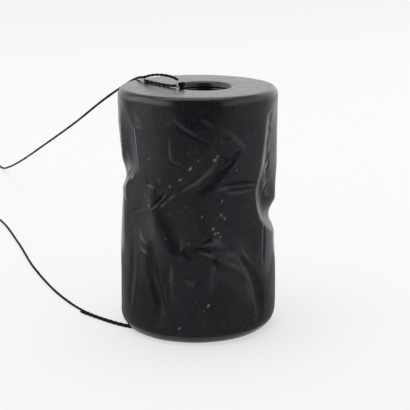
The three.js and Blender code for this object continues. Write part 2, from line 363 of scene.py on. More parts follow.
WALL_ROWS, FINE_COLUMNS, COARSE_COLUMNS = 180, 290, 100
section = seal_section(WALL_ROWS)
angles = column_angles(FINE_COLUMNS, COARSE_COLUMNS)
print("grid of", len(section), "rows and", len(angles), "columns")

# %% [markdown]
# ## The engraver's tools
#
# The picture was cut with a drill, a round-nosed gouge and a fine point. Each
# stroke is a route over the unrolled surface: angle, height, width and depth at a
# few places. Three tools work from the distance to that route. The gouge leaves a
# soft bowl. The chisel drops sharply on one side of its route and climbs back
# slowly on the other. The point scratches a narrow line, or, with a negative
# depth, leaves a ridge. Where two cuts meet, the deeper one wins softly.

# %% Tools
ALONG = BODY_RADIUS * np.pi / 180


def stroke_line(points):
    """The chosen places as a smooth line. While it is smoothed the angle is held as a
    length along the surface, so that angle and height count alike."""
    p = np.asarray(points, float)
    if len(p) < 3:
        return p
    return smooth_route(p * [ALONG, 1, 1, 1], 6) / [ALONG, 1, 1, 1]


def share_and_depth(points, angle, height):
    """The least distance to the route's pieces over the width there, signed + on the left
    hand of the route and - on the right, and the stroke's own depth at that nearest place."""
    least = np.full(angle.shape, 9.0)
    hand = np.ones(angle.shape)
    depth = np.zeros(angle.shape)
    line = stroke_line(points)
    for (a0, z0, w0, d0), (a1, z1, w1, d1) in zip(line[:-1], line[1:]):
        x = ((angle - a0 + 180) % 360 - 180) * ALONG
        y = height - z0
        dx, dy = (a1 - a0) * ALONG, z1 - z0
        t = np.clip((x * dx + y * dy) / max(dx * dx + dy * dy, 1e-9), 0, 1)
        share = np.hypot(x - t * dx, y - t * dy) / (w0 + (w1 - w0) * t)
        nearer = share < least
        least = np.where(nearer, share, least)
        hand = np.where(nearer, np.sign(dx * y - dy * x), hand)
        depth = np.where(nearer, d0 + (d1 - d0) * t, depth)
    return least * hand, depth


def smooth_step(x, low, high):
    """0 below low, 1 above high, and 3t^2 - 2t^3 between."""
    t = np.clip((x - low) / (high - low), 0, 1)
    return t * t * (3 - 2 * t)


def gouge(depth, points, angle, height):
    """A round-nosed stroke, deep * (1 - share^2)^1.5, joined to the rest by a soft maximum."""
    share, deep = share_and_depth(points, angle, height)
    cut = deep * np.clip(1 - share**2, 0, 1) ** 1.5
    return np.cbrt(depth**3 + cut**3)


def chisel(depth, points, angle, height, drop=0.1):
    """A stroke that drops within a share of its width at the route and climbs back to its
    left by (1 - share^2)^1.5; it is added to what is there."""
    share, deep = share_and_depth(points, angle, height)
    return depth + deep * smooth_step(share, -0.06, drop) * (1 - np.clip(share, 0, 1) ** 2) ** 1.5


def point(depth, points, angle, height):
    """A fine stroke added to what is there, deep * (1 - share^2)^2; a negative depth
    leaves a ridge."""
    share, deep = share_and_depth(points, angle, height)
    return depth + deep * np.clip(1 - share**2, 0, 1) ** 2


print("one degree round the seal is", round(ALONG, 3), "mm")

# %% [markdown]
# ## The picture
#
# The scene is a contest: a figure at each side holds a beast between them. Wear
# has taken the faces and most of the detail, so what is left is told by broad
# hollows for the bodies, long grooves for the legs, and a few sharp lines for
# belts, hair and blades. The back of the seal repeats the same figures, plainer.

# %% Larger hollows
def standing(angle, hand):
    """A person upright: head, chest, one arm and two legs, as gouge strokes."""
    def at(across, height, half, deep):
        return (angle + hand * across, height, half, deep)
    return [
        [at(0, 31.6, 1.2, 0.7), at(2, 31.0, 1.1, 0.7)],
        [at(0, 28.4, 2.1, 0.8), at(0, 25.8, 1.9, 1.0), at(0, 22.8, 1.5, 0.8)],
        [at(1, 28.0, 0.9, 0.5), at(11, 25.2, 0.8, 0.5), at(17, 28.2, 0.8, 0.4)],
        [at(-2, 20.4, 1.3, 0.6), at(-6, 12.0, 1.2, 0.7), at(-5, 4.6, 0.9, 0.4)],
        [at(2, 20.4, 1.3, 0.6), at(6, 12.0, 1.2, 0.7), at(7, 4.6, 0.9, 0.4)],
    ]


def reared(angle, hand):
    """A beast on its hind legs: head, body, fore leg and two hind legs."""
    def at(across, height, half, deep):
        return (angle + hand * across, height, half, deep)
    return [
        [at(-6, 29.6, 1.0, 0.6), at(-2, 28.6, 1.3, 0.7)],
        [at(-2, 26.0, 1.5, 0.8), at(1, 19.5, 2.2, 1.0), at(6, 13.6, 2.0, 0.9)],
        [at(-1, 24.0, 0.8, 0.5), at(-11, 22.0, 0.7, 0.5), at(-12, 19.5, 0.7, 0.3)],
        [at(6, 13.5, 1.2, 0.7), at(2, 8.6, 0.9, 0.6), at(5, 4.0, 0.8, 0.4)],
        [at(8, 13.5, 1.2, 0.7), at(11, 8.6, 0.9, 0.6), at(15, 4.2, 0.8, 0.4)],
    ]


LEFT_FIGURE = [
    # chest, running round to the deep waist at the left outline
    [(-60, 32.5, 2.4, 0.15), (-61, 29.0, 3.0, 0.35), (-62, 26.6, 3.2, 0.6), (-70, 24.4, 2.6, 0.9),
     (-88, 22.8, 2.4, 1.05), (-104, 22.4, 2.0, 0.8)],
    [(-90, 31.0, 4.0, 0.1), (-90, 28.4, 5.0, 0.35), (-92, 26.2, 5.2, 0.85), (-93, 24.0, 4.6, 1.1),
     (-94, 22.2, 3.8, 1.2)],
    [(-92, 20.4, 5.2, 0.95), (-92, 18.0, 5.4, 0.5), (-92, 14.0, 5.4, 0.22), (-92, 8.0, 5.0, 0.15),
     (-92, 4.0, 4.6, 0.05)],
    # the hollow beside the ridge between the two figures
    [(-46, 21.0, 2.2, 0.15), (-44, 18.6, 2.8, 0.34), (-41, 16.6, 2.2, 0.25), (-38, 15.4, 1.2, 0.05)],
    # lower legs
    [(-53, 14.4, 0.7, 0.1), (-53.5, 12.0, 0.9, 0.26), (-55, 9.0, 1.0, 0.28), (-57.5, 5.4, 0.9, 0.06)],
    [(-34, 14.6, 0.8, 0.2), (-34, 12.4, 1.1, 0.44), (-33, 10.0, 1.3, 0.5), (-29.6, 7.6, 1.3, 0.5),
     (-27.4, 5.6, 1.1, 0.38), (-27.6, 3.2, 0.9, 0.12)],
]
BEASTS = [
    # the broad groove between the two bodies
    [(-29, 21.6, 1.4, 0.06), (-25, 20.0, 2.4, 0.16), (-20, 17.8, 2.6, 0.2), (-14, 15.6, 2.0, 0.16),
     (-9, 14.8, 1.2, 0.05)],
    # the hollow under the blade
    [(-2, 22.9, 1.2, 0.1), (5, 23.7, 1.6, 0.3), (11, 25.1, 1.6, 0.42), (17, 26.4, 1.3, 0.4),
     (23, 27.0, 0.9, 0.2)],
    # the right beast's chest and belly
    [(4, 21.6, 4.6, 0.18), (17, 20.6, 5.0, 0.3), (30, 18.2, 4.4, 0.34), (40, 14.2, 1.9, 0.5),
     (41, 12.4, 1.0, 0.2)],
    # the field below, between the legs
    [(-13, 11.4, 2.6, 0.16), (-3, 11.6, 2.8, 0.2), (7, 11.4, 2.4, 0.16)],
    # its hind leg
    [(32, 12.6, 0.8, 0.14), (37, 10.9, 1.1, 0.32), (43.5, 8.6, 1.3, 0.5), (48.5, 6.2, 1.3, 0.46),
     (51, 3.4, 1.0, 0.14)],
]
RIGHT_FIGURE = [
    # back, waist, and round to the right outline
    [(76, 33.6, 2.4, 0.1), (75, 31.0, 3.4, 0.26), (75, 28.0, 3.8, 0.34), (73, 24.6, 3.7, 0.4),
     (67, 21.6, 3.2, 0.6)],
    [(56, 24.2, 1.6, 0.3), (54.5, 22.0, 2.2, 0.7), (59, 19.4, 2.5, 0.95), (72, 17.6, 2.7, 1.1),
     (92, 16.8, 2.9, 1.2), (112, 16.8, 2.4, 0.9)],
    [(90, 20.8, 4.4, 0.25), (92, 14.0, 5.0, 0.4), (92, 9.5, 5.0, 0.12), (92, 4.6, 4.4, 0.08)],
]
HOLLOWS = [
    *LEFT_FIGURE, *BEASTS, *RIGHT_FIGURE,
    *standing(134, 1), *reared(165, 1), *standing(-163, -1), *reared(-130, -1),
]

A, Z = np.meshgrid(angles, section[:, 1])
outside = section[:, 2] == 0
wall_depth = np.zeros(A.shape)
for points in HOLLOWS:
    wall_depth = gouge(wall_depth, points, A, Z)
# the right figure's back: a steep side, then a slow climb under the hair to the outline
HAIR_SIDE = [(60, 33.6, 3.0, 0.0), (57, 32.2, 5.2, 0.34), (54.5, 29.4, 6.6, 0.62), (51, 26.0, 7.0, 0.72),
             (48.5, 23.4, 6.4, 0.66), (47.5, 21.2, 4.0, 0.0)]
wall_depth = chisel(wall_depth, HAIR_SIDE, A, Z, drop=0.36)
print(len(HOLLOWS), "hollows, the deepest", round(float(wall_depth.max()), 2), "mm")

# %% [markdown]
# ## Steps
#
# Where one body passes in front of another the engraver left a step: a sharp
# drop along one side and a slow climb back. The widest, beside the middle groove,
# drops more gently.

# %% Stepped edges
# Each climbs back to the left of its route.
STEPS = [
    # above the blade, from its low end up to its tip
    [(-14, 22.7, 1.6, 0.0), (-11, 23.1, 2.2, 0.1), (-6, 23.6, 2.6, 0.16), (0, 24.3, 2.8, 0.2),
     (5, 25.2, 2.8, 0.22), (9, 26.0, 2.4, 0.22), (13, 27.2, 1.8, 0.16), (15, 28.0, 1.0, 0.0)],
    # under the right beast's thigh, down to its hoof
    [(12.6, 13.2, 0.8, 0.0), (14, 12.8, 1.8, 0.3), (20, 12.25, 2.8, 0.36), (27, 11.6, 3.2, 0.36),
     (31, 11.0, 3.2, 0.34), (36, 9.7, 3.0, 0.32), (40.5, 8.6, 2.8, 0.3), (43, 7.0, 2.2, 0.22),
     (45.5, 4.6, 1.6, 0.0)][::-1],
    # the belly line between the beasts
    [(-11, 14.0, 1.2, 0.0), (-5, 14.45, 1.8, 0.14), (1, 14.7, 1.8, 0.2), (6, 14.7, 1.4, 0.14),
     (9, 14.6, 1.0, 0.0)][::-1],
    # the left figure's side, chest to belt
    [(-51, 32.0, 1.6, 0.0), (-49, 30.0, 3.0, 0.12), (-48, 28.0, 3.4, 0.2), (-46.5, 26.0, 3.2, 0.26),
     (-46, 24.4, 2.0, 0.0)][::-1],
    # the blade's guard
    [(33, 28.7, 0.6, 0.0), (29, 28.3, 0.9, 0.2), (24.5, 27.4, 1.2, 0.3), (19.5, 26.6, 1.0, 0.16),
     (16, 26.6, 0.8, 0.0)],
    # the two legs' bright sides at the left
    [(-28.5, 11.6, 1.4, 0.0), (-28, 10.0, 2.2, 0.16), (-24.5, 8.0, 2.0, 0.22), (-22.5, 6.2, 1.8, 0.2),
     (-23.5, 4.0, 1.2, 0.0)][::-1],
    [(-18.5, 12.8, 0.8, 0.0), (-18.4, 11.4, 1.4, 0.14), (-18.8, 9.4, 1.4, 0.14), (-17, 6.6, 1.2, 0.08),
     (-16.4, 5.0, 0.8, 0.0)][::-1],
]
for points in STEPS:
    wall_depth = chisel(wall_depth, points, A, Z)
# the groove's broad left side falls slowly and rises a little more slowly
GROOVE_SIDE = [(-35, 21.6, 2.8, 0.0), (-33, 20.0, 5.2, 0.4), (-30, 18.0, 6.2, 0.66), (-26, 15.8, 6.0, 0.66),
               (-20.5, 13.8, 4.2, 0.34), (-14, 12.8, 2.2, 0.0)]
wall_depth = chisel(wall_depth, GROOVE_SIDE, A, Z, drop=0.46)

# %% [markdown]
# ## Ridges
#
# Between two hollows the old surface is left standing as a ridge. These strokes
# have a negative depth, so the point raises them above what is there.

# %% Raised edges
EDGES = [
    [(13.5, 27.0, 0.5, -0.03), (9, 25.8, 0.7, -0.12), (5, 25.0, 0.8, -0.14), (0, 24.1, 0.8, -0.12),
     (-6, 23.4, 0.7, -0.08), (-12, 22.8, 0.5, -0.02)],
    [(3, 15.0, 0.6, -0.06), (8, 15.4, 0.7, -0.2), (14, 15.2, 0.8, -0.2), (19, 14.2, 0.8, -0.08)],
    [(2, 14.1, 0.5, -0.05), (8, 13.8, 0.6, -0.18), (11.5, 13.0, 0.5, -0.08)],
    [(13.5, 13.5, 1.0, -0.06), (20, 13.0, 1.4, -0.2), (27, 12.4, 1.4, -0.22), (33, 11.0, 1.0, -0.16),
     (39, 9.4, 0.9, -0.14), (43, 7.6, 0.8, -0.12), (46.5, 5.0, 0.7, -0.05)],
    [(-38, 20.0, 1.4, -0.08), (-34, 18.4, 1.8, -0.16), (-29, 16.4, 2.0, -0.2), (-24.5, 14.4, 1.6, -0.14),
     (-21, 12.4, 1.0, -0.05)],
    [(-37.5, 22.6, 0.9, -0.04), (-36, 21.0, 1.0, -0.12), (-34.5, 19.6, 0.8, -0.06)],
    [(-19.5, 13.0, 0.4, -0.04), (-18.6, 11.4, 0.5, -0.14), (-18.8, 9.2, 0.5, -0.12),
     (-17.5, 6.6, 0.5, -0.06)],
    [(-49.4, 13.2, 0.6, -0.06), (-50.5, 10.6, 0.8, -0.12), (-53, 7.2, 0.8, -0.12), (-55, 4.6, 0.6, -0.04)],
    [(-29.4, 10.6, 0.5, -0.05), (-26, 8.4, 0.7, -0.12), (-23, 6.4, 0.7, -0.12), (-24, 4.2, 0.5, -0.04)],
    [(-46.5, 16.2, 0.3, -0.04), (-44, 15.2, 0.34, -0.12), (-39.5, 14.7, 0.3, -0.05)],
    [(-45.5, 14.3, 0.3, -0.05), (-42.5, 13.5, 0.34, -0.14), (-38, 13.2, 0.3, -0.1)],
    [(52, 16.8, 0.5, -0.06), (52.2, 14.0, 0.55, -0.14), (51.6, 11.3, 0.5, -0.06)],
    [(18.5, 31.4, 0.6, -0.04), (26, 30.2, 0.6, -0.08), (33.5, 28.9, 0.5, -0.06)],
    [(-61, 21.4, 1.4, -0.12), (-60, 23.2, 0.9, -0.1)],
    [(10.5, 12.0, 0.6, -0.05), (9.6, 9.6, 0.6, -0.06), (9.2, 7.6, 0.5, -0.03)],
]

# %% [markdown]
# ## Fine lines
#
# The belt, the hatching, the hair and a few scratches are single cuts of the fine
# point, mostly about half a millimetre wide. The hair comes from a seeded random
# choice, so its locks are uneven but the same each time.

# %% Fine lines
LINES = [
    # the hatched pair at the left, and the thin line it runs into
    [(-33.5, 20.2, 0.22, 0.12), (-31, 20.8, 0.3, 0.34), (-28, 21.5, 0.3, 0.36), (-24, 22.3, 0.24, 0.16)],
    [(-28.5, 20.5, 0.22, 0.12), (-25, 21.1, 0.3, 0.34), (-20, 22.0, 0.3, 0.3), (-16, 22.5, 0.2, 0.08)],
    [(-29, 23.2, 0.8, 0.1), (-25.5, 22.9, 0.9, 0.16), (-22, 22.5, 0.6, 0.08)],
    [(-54, 18.9, 0.22, 0.08), (-45, 19.6, 0.26, 0.12), (-37, 20.1, 0.24, 0.08)],
    # the belt
    [(14.5, 23.4, 0.2, 0.06), (20, 23.6, 0.3, 0.24), (30, 23.7, 0.34, 0.38), (38, 23.6, 0.32, 0.36),
     (45, 23.3, 0.2, 0.12)],
    [(19, 22.9, 0.2, 0.05), (25, 22.75, 0.26, 0.2), (32, 22.75, 0.28, 0.3), (38, 22.8, 0.26, 0.28),
     (44, 22.8, 0.2, 0.1)],
    # scratches and strokes above
    [(-18.7, 32.9, 0.24, 0.03), (-8, 31.5, 0.3, 0.07), (4, 30.1, 0.3, 0.06), (8, 29.6, 0.2, 0.02)],
    [(2.7, 32.9, 0.24, 0.04), (6, 32.5, 0.26, 0.07), (12, 31.7, 0.2, 0.03)],
    [(16.5, 30.0, 0.22, 0.1), (19, 30.2, 0.26, 0.2), (23.5, 30.6, 0.2, 0.1)],
    [(12, 28.8, 0.2, 0.08), (14, 28.4, 0.26, 0.14), (18.5, 28.4, 0.2, 0.06)],
    [(14.5, 27.4, 0.3, 0.12), (17.5, 27.7, 0.34, 0.24), (20, 27.4, 0.24, 0.1)],
    [(18.5, 26.9, 0.26, 0.12), (21, 27.3, 0.34, 0.26), (23, 27.5, 0.22, 0.12)],
    [(24, 27.4, 0.24, 0.12), (27.5, 28.0, 0.34, 0.26), (33, 28.5, 0.22, 0.1)],
    [(-20, 30.4, 0.3, 0.04), (-20, 28.2, 0.3, 0.07), (-18, 27.1, 0.3, 0.06), (-12, 26.7, 0.24, 0.03)],
    [(-32, 24.3, 0.2, 0.06), (-28, 24.2, 0.22, 0.08)],
    [(-52, 33.6, 0.26, 0.05), (-48, 32.8, 0.3, 0.1), (-44, 32.4, 0.24, 0.05)],
    [(-50, 31.9, 0.24, 0.05), (-45, 31.6, 0.28, 0.1), (-40, 31.6, 0.2, 0.04)],
    # the lower field
    [(-9, 9.8, 0.22, 0.08), (-7.5, 9.0, 0.26, 0.12), (-6, 9.7, 0.22, 0.1), (-4.6, 9.0, 0.26, 0.12),
     (-1.5, 9.9, 0.2, 0.06)],
    [(9, 6.0, 0.24, 0.1), (9.3, 4.8, 0.3, 0.14), (9.2, 4.0, 0.2, 0.05)],
    [(-6, 14.5, 0.3, 0.08), (0, 14.55, 0.36, 0.26), (6, 14.55, 0.3, 0.22), (8.5, 14.4, 0.2, 0.06)],
    [(12.2, 13.4, 0.4, 0.1), (12.8, 12.5, 0.6, 0.3), (13.4, 11.6, 0.5, 0.08)],
    [(30.5, 12.9, 0.3, 0.08), (34, 12.0, 0.34, 0.14), (39, 10.9, 0.3, 0.08)],
    [(34, 14.6, 0.3, 0.06), (37, 13.4, 0.36, 0.12), (40, 12.4, 0.3, 0.06)],
    [(2, 18.0, 0.24, 0.04), (8, 16.6, 0.26, 0.07)],
    [(54.4, 16.6, 0.3, 0.08), (54.8, 13.8, 0.36, 0.22), (54.2, 11.4, 0.3, 0.08)],
    [(-39, 20.2, 0.24, 0.05), (-36, 18.4, 0.26, 0.1), (-33, 16.9, 0.24, 0.04)],
    [(-57, 24.6, 0.4, 0.1), (-61, 24.2, 0.5, 0.18), (-66, 23.6, 0.4, 0.1)],
]
# locks of hair: slanting lines, close together and uneven, some of them raised
slant = np.random.default_rng(3).uniform(-1, 1, (26, 4))
HAIR = [
    [(61 + 2 * a, z - 0.9, 0.16, 0.02), (65 + 3 * b, z + 0.2 * c, 0.19 + 0.04 * d, 0.17 + 0.09 * a),
     (70 + 3 * d, z + 1.1 + 0.3 * b, 0.16, 0.02)]
    for z, (a, b, c, d) in zip(np.linspace(21.6, 32.8, 26), slant)
]


def belt_and_hair(angle, hand):
    """A figure's fine lines on the plainer side: two belt lines and four short locks."""
    def at(across, height, half, deep):
        return (angle + hand * across, height, half, deep)
    belt = [[at(-9, z, 0.16, 0.1), at(0, z + 0.1, 0.22, 0.22), at(9, z, 0.16, 0.1)] for z in (22.0, 22.7)]
    locks = [[at(-7, z, 0.16, 0.1), at(-11, z - 0.5, 0.18, 0.14)] for z in (32.4, 31.6, 30.8, 30.0)]
    return belt + locks


LINES += [*HAIR, *belt_and_hair(134, 1), *belt_and_hair(-163, -1)]
for points in EDGES + LINES:
    wall_depth = point(wall_depth, points, A, Z)
print(len(STEPS), "steps,", len(EDGES), "edges and", len(LINES), "lines; surface from",
      round(float(wall_depth.min()), 2), "to", round(float(wall_depth.max()), 2), "mm deep")

# %% [markdown]
# ## Wear
#
# Nothing on a hand-polished stone is true: the surface rolls a little, and that
# is what breaks up its reflections. The roll is a sum of slow waves, each with a
# whole number of periods round the seal so that the seam closes. Small chips show
# paler stone. They are pits in the mesh, and the same numbers are kept as an
# attribute, which the material reads to make them pale.

# %% Roll and chips
def slow_waves(angle, height, seed, count, height_step):
    """Sum of sin(n * angle + m * height + phase), n whole, each divided by the root of count."""
    pick = np.random.default_rng(seed)
    total = np.zeros(angle.shape)
    whole, slope = pick.integers(3, 15, count), pick.uniform(-1, 1, count)
    for n, m, phase in zip(whole, slope, pick.uniform(0, 6.28, count)):
        total += np.sin(n * np.radians(angle) + m * height / height_step + phase)
    return total / np.sqrt(count)


def pits(spots, angle, height):
    """The largest of strength * (1 - (distance / size)^2) over the spots, each squeezed one
    way and stretched across it, in its own direction."""
    pick = np.random.default_rng(21)
    most = np.zeros(angle.shape)
    for at, z, size, strength in spots:
        x = ((angle - at + 180) % 360 - 180) * ALONG
        y = height - z
        turn, stretch = pick.uniform(0, np.pi), pick.uniform(1.1, 1.6)
        u = (x * np.cos(turn) + y * np.sin(turn)) * stretch
        v = (y * np.cos(turn) - x * np.sin(turn)) / stretch
        most = np.maximum(most, strength * (1 - (u**2 + v**2) / size**2))
    return np.clip(most, 0, 1)


CHIPS = [
    (-5, 26.2, 0.3, 1.0), (0.5, 27.3, 0.2, 0.5), (-12, 24.6, 0.26, 0.8), (-19.5, 23.6, 0.22, 0.6),
    (17.5, 21.4, 0.22, 0.6), (17, 19.4, 0.25, 0.8), (19.5, 18.9, 0.25, 0.6), (3, 19.3, 0.2, 0.5),
    (11, 17.5, 0.24, 0.9), (12.0, 16.8, 0.22, 0.8), (14.2, 16.9, 0.22, 0.8), (16, 16.3, 0.22, 0.5),
    (28, 25.7, 0.22, 0.4), (-36, 27.2, 0.24, 0.4), (-6.5, 15.3, 0.2, 0.5), (7.5, 6.2, 0.26, 1.0),
    (-13, 2.7, 0.24, 0.8), (12, 27.4, 0.3, 1.0), (13.8, 27.9, 0.22, 0.7), (-40, 21.8, 0.2, 0.4),
    (-53.5, 24.1, 0.36, 1.0), (-54.5, 31.2, 0.22, 0.4), (-8, 20.6, 0.18, 0.3), (-36.5, 20.4, 0.26, 0.7),
]
scatter = np.random.default_rng(11)
SPECK_RANGES = [(-180, 180), (1.5, 35), (0.12, 0.2), (0.1, 0.4)]
SPECKS = np.column_stack([scatter.uniform(low, high, 120) for low, high in SPECK_RANGES])
chip_mask = np.maximum(pits(CHIPS, A, Z), pits(SPECKS, A, Z))
BROAD_ROLL, SHORT_ROLL, CHIP_DEPTH = 0.032, 0.008, 0.07
roll = BROAD_ROLL * slow_waves(A, Z, 5, 9, 1.6) + SHORT_ROLL * slow_waves(A, Z, 8, 14, 0.55)
print(len(CHIPS) + len(SPECKS), "chips; the roll is", round(float(np.ptp(roll)), 3), "mm in all")

# %% [markdown]
# ## Painted highlights and painted shade
#
# Ridges, edges, hair locks and scratches get a pale painted highlight, and the
# finest cuts get a dark painted shade. Both are given as routes over the surface, in
# which the last number is a strength, and both are kept as attributes for the
# stone's material to read.

# %% Painted highlights and painted shade in the cuts
# painted highlights: pale colour laid along ridges, edges, hair locks and scratches, where the polish would
# catch the light
PAINTED_HIGHLIGHTS = [
    # the blade and its guard
    [(13, 27.2, 0.3, 0.3), (9, 26.0, 0.36, 0.9), (4, 25.05, 0.36, 1.0), (-1, 24.15, 0.34, 1.0),
     (-6, 23.6, 0.32, 0.8), (-11, 23.05, 0.3, 0.3)],
    [(18, 31.6, 0.4, 0.1), (26, 30.2, 0.5, 0.4), (33, 28.9, 0.4, 0.4)],
    # paws over the belly line
    [(4, 15.1, 0.3, 0.3), (9, 15.4, 0.36, 0.6), (14, 15.1, 0.36, 0.5), (18, 14.4, 0.3, 0.1)],
    [(2.5, 14.1, 0.3, 0.4), (7, 13.8, 0.36, 0.8), (11.5, 13.3, 0.34, 0.5)],
    # the thigh's lower edge, down to the hoof
    [(14, 12.9, 0.3, 0.4), (20, 12.4, 0.4, 0.55), (27, 11.75, 0.6, 0.8), (31, 11.0, 0.5, 0.5),
     (37, 9.7, 0.46, 0.4), (42, 8.3, 0.6, 0.55), (44.5, 6.2, 0.5, 0.4), (47, 4.6, 0.3, 0.2)],
    [(13.5, 13.7, 0.8, 0.2), (20, 13.3, 1.0, 0.35), (28, 12.8, 0.8, 0.3)],
    # the right figure's hair: its edge and a few locks
    [(60, 32.6, 0.4, 0.4), (58.5, 30.4, 0.5, 1.2), (57, 27.6, 0.5, 1.5), (54, 24.8, 0.6, 1.5),
     (51.5, 22.4, 0.7, 1.2), (52.5, 20.6, 0.6, 0.5)],
    *[[(60, z - 0.9, 0.24, 0.3), (64.5, z, 0.34, 1.6), (70, z + 1.1, 0.24, 0.5)]
      for z in (22.4, 23.3, 24.4, 25.2, 26.6, 27.4, 28.9, 29.8, 30.5, 31.6)],
    # the figure at the left: side, knees, shins
    [(-50.5, 31.4, 0.3, 0.3), (-49, 29.6, 0.34, 0.6), (-47.6, 27.6, 0.36, 0.5), (-46.5, 25.8, 0.5, 0.8),
     (-46, 24.8, 0.4, 0.3)],
    [(-49.6, 13.0, 0.3, 0.2), (-50.6, 10.6, 0.4, 0.5), (-53, 7.2, 0.4, 0.4), (-55, 5.0, 0.3, 0.2)],
    [(-46, 16.0, 0.26, 0.3), (-43.6, 15.1, 0.3, 0.8), (-39, 14.7, 0.26, 0.3)],
    [(-45, 14.3, 0.26, 0.4), (-42, 13.5, 0.3, 0.9), (-38, 13.2, 0.26, 0.6)],
    [(-29, 10.4, 0.3, 0.2), (-25.5, 8.1, 0.34, 0.45), (-23, 6.4, 0.34, 0.4)],
    [(-18.6, 12.2, 0.34, 0.2), (-18.5, 10.9, 0.44, 0.55), (-18.7, 9.4, 0.4, 0.35), (-17.6, 7.0, 0.3, 0.2)],
    [(-37, 19.6, 1.2, 0.1), (-33.5, 17.6, 1.6, 0.3), (-28.5, 15.2, 1.6, 0.34), (-24, 12.6, 1.2, 0.14)],
    [(-36, 22.6, 0.6, 0.2), (-35.4, 21.0, 0.7, 0.45), (-35, 20.2, 0.5, 0.5)],
    [(-31, 24.5, 0.26, 0.3), (-27.5, 24.35, 0.28, 0.6)],
    [(-50, 19.4, 0.24, 0.2), (-44, 19.8, 0.26, 0.5), (-38, 20.2, 0.24, 0.3)],
    # scratches high on the front
    [(-18, 33.2, 0.3, 0.15), (-12, 32.4, 0.36, 0.35), (-7, 31.6, 0.34, 0.3), (-1, 30.8, 0.3, 0.15)],
    [(3, 33.0, 0.3, 0.2), (8, 32.6, 0.3, 0.3), (12, 32.0, 0.3, 0.15)],
    [(-19.6, 30.2, 0.3, 0.15), (-19.4, 28.2, 0.36, 0.4), (-17.5, 27.2, 0.36, 0.3), (-12, 26.9, 0.3, 0.15)],
    [(14, 23.1, 0.24, 0.3), (18, 23.15, 0.36, 0.7), (22, 23.1, 0.26, 0.4)],
    [(22, 22.35, 0.24, 0.2), (30, 22.3, 0.28, 0.4), (36, 22.5, 0.24, 0.3)],
    [(52, 16.4, 0.3, 0.2), (52, 13.8, 0.4, 0.6), (51.6, 11.6, 0.3, 0.3)],
    [(-52, 33.9, 0.3, 0.3), (-47, 32.9, 0.36, 0.6), (-43, 32.3, 0.3, 0.3)],
    [(-51, 32.3, 0.3, 0.3), (-46, 31.9, 0.34, 0.6), (-41, 31.9, 0.3, 0.2)],
    [(-27, 20.8, 0.22, 0.3), (-22, 21.7, 0.24, 0.5), (-17, 22.3, 0.22, 0.3)],
    [(9.8, 12.0, 0.4, 0.2), (9.6, 9.6, 0.5, 0.3), (9.4, 7.8, 0.4, 0.1)],
    [(-9, 9.9, 0.2, 0.3), (-7.5, 9.2, 0.22, 0.5), (-6, 9.9, 0.2, 0.3), (-4.6, 9.2, 0.22, 0.5),
     (-2, 10, 0.2, 0.3)],
]


def routes_mask(routes, angle, height):
    """The largest of strength * (1 - share^2) over the routes."""
    most = np.zeros(angle.shape)
    for points in routes:
        share, strength = share_and_depth(points, angle, height)
        most = np.maximum(most, strength * np.clip(1 - share**2, 0, 1))
    return most


# painted shade: the fine cuts are darkened in colour along slightly widened routes
CUT_SHADE_SPREAD, CUT_SHADE_STRENGTH = 1.3, 3.2


def as_cut_shade(points):
    """A fine line's route as one of painted shade: a little wider, its strength set by its depth."""
    return [(a, z, CUT_SHADE_SPREAD * half, min(1.0, CUT_SHADE_STRENGTH * deep)) for a, z, half, deep in points]


# painted highlight mask from the routes above
painted_highlight = routes_mask(PAINTED_HIGHLIGHTS, A, Z)
# painted shade in the fine cuts
painted_cut_shade = routes_mask([as_cut_shade(points) for points in LINES], A, Z)
# the share of the grid that gets painted highlight
print("rubbed over", round(float((painted_highlight > 0.1).mean()) * 100, 1), "% of the grid")

# %% [markdown]
# ## One surface
#
# All the depths are now taken from the blank in one step. They fade out toward
# the two ends, where wear has rubbed the picture away. The foot is worn rounder
# on its right, the front of the upper rim is worn back, and a channel for the
# thread is pressed in under the foot.

# %% Seal mesh
FADE = smooth_step(Z, 1.2, 3.2) * (1 - smooth_step(Z, 32.6, 34.6))
FOOT_WEAR, FOOT_WEAR_HEIGHT, MOST_WORN_AT = 0.9, 4.0, 72
CHANNEL_DEPTH, CHANNEL_HALF, UNDERSIDE = 0.66, 0.78, 1.0
CHANNEL = np.array([
    [-13.2, -1.6], [-12.0, -2.6], [-10.45, -3.65], [-8.42, -4.42],
    [-6.2, -4.1], [-4.2, -3.0], [-2.8, -2.0], [-2.1, -1.55],
])


def seal_points(depth):
    """radius = section radius - depth; x = radius sin(angle) + moved * offset;
    y = - radius cos(angle). The foot is worn rounder on the right, by a second, larger
    quarter ellipse. Under the foot a channel is pressed in along its route."""
    radius = section[:, :1] - np.where(outside[:, None], depth, 0)
    turn = np.radians(angles)[None, :]
    worn = FOOT_WEAR * (0.5 + 0.5 * np.cos(turn - np.radians(MOST_WORN_AT))) ** 1.5
    low = np.clip(1 - section[:, 1:2] / FOOT_WEAR_HEIGHT, 0, 1)
    radius = radius - outside[:, None] * worn * (1 - np.sqrt(1 - 0.96 * low**2))
    x = radius * np.sin(turn) + section[:, 2:] * BORE_OFFSET
    y = -radius * np.cos(turn)
    z = np.repeat(section[:, 1:2], len(angles), 1)
    line = evenly(smooth_route(CHANNEL, 8), 0.2)
    under = z < UNDERSIDE
    away = np.full(z.shape, 9.0)
    for cx, cy in line:
        away = np.where(under, np.minimum(away, np.hypot(x - cx, y - cy)), away)
    roof = CHANNEL_DEPTH * np.sqrt(np.clip(1 - (away / CHANNEL_HALF) ** 2, 0, 1))
    z = np.where(under, np.maximum(z, roof), z)
    return np.stack([x, y, z], 2)


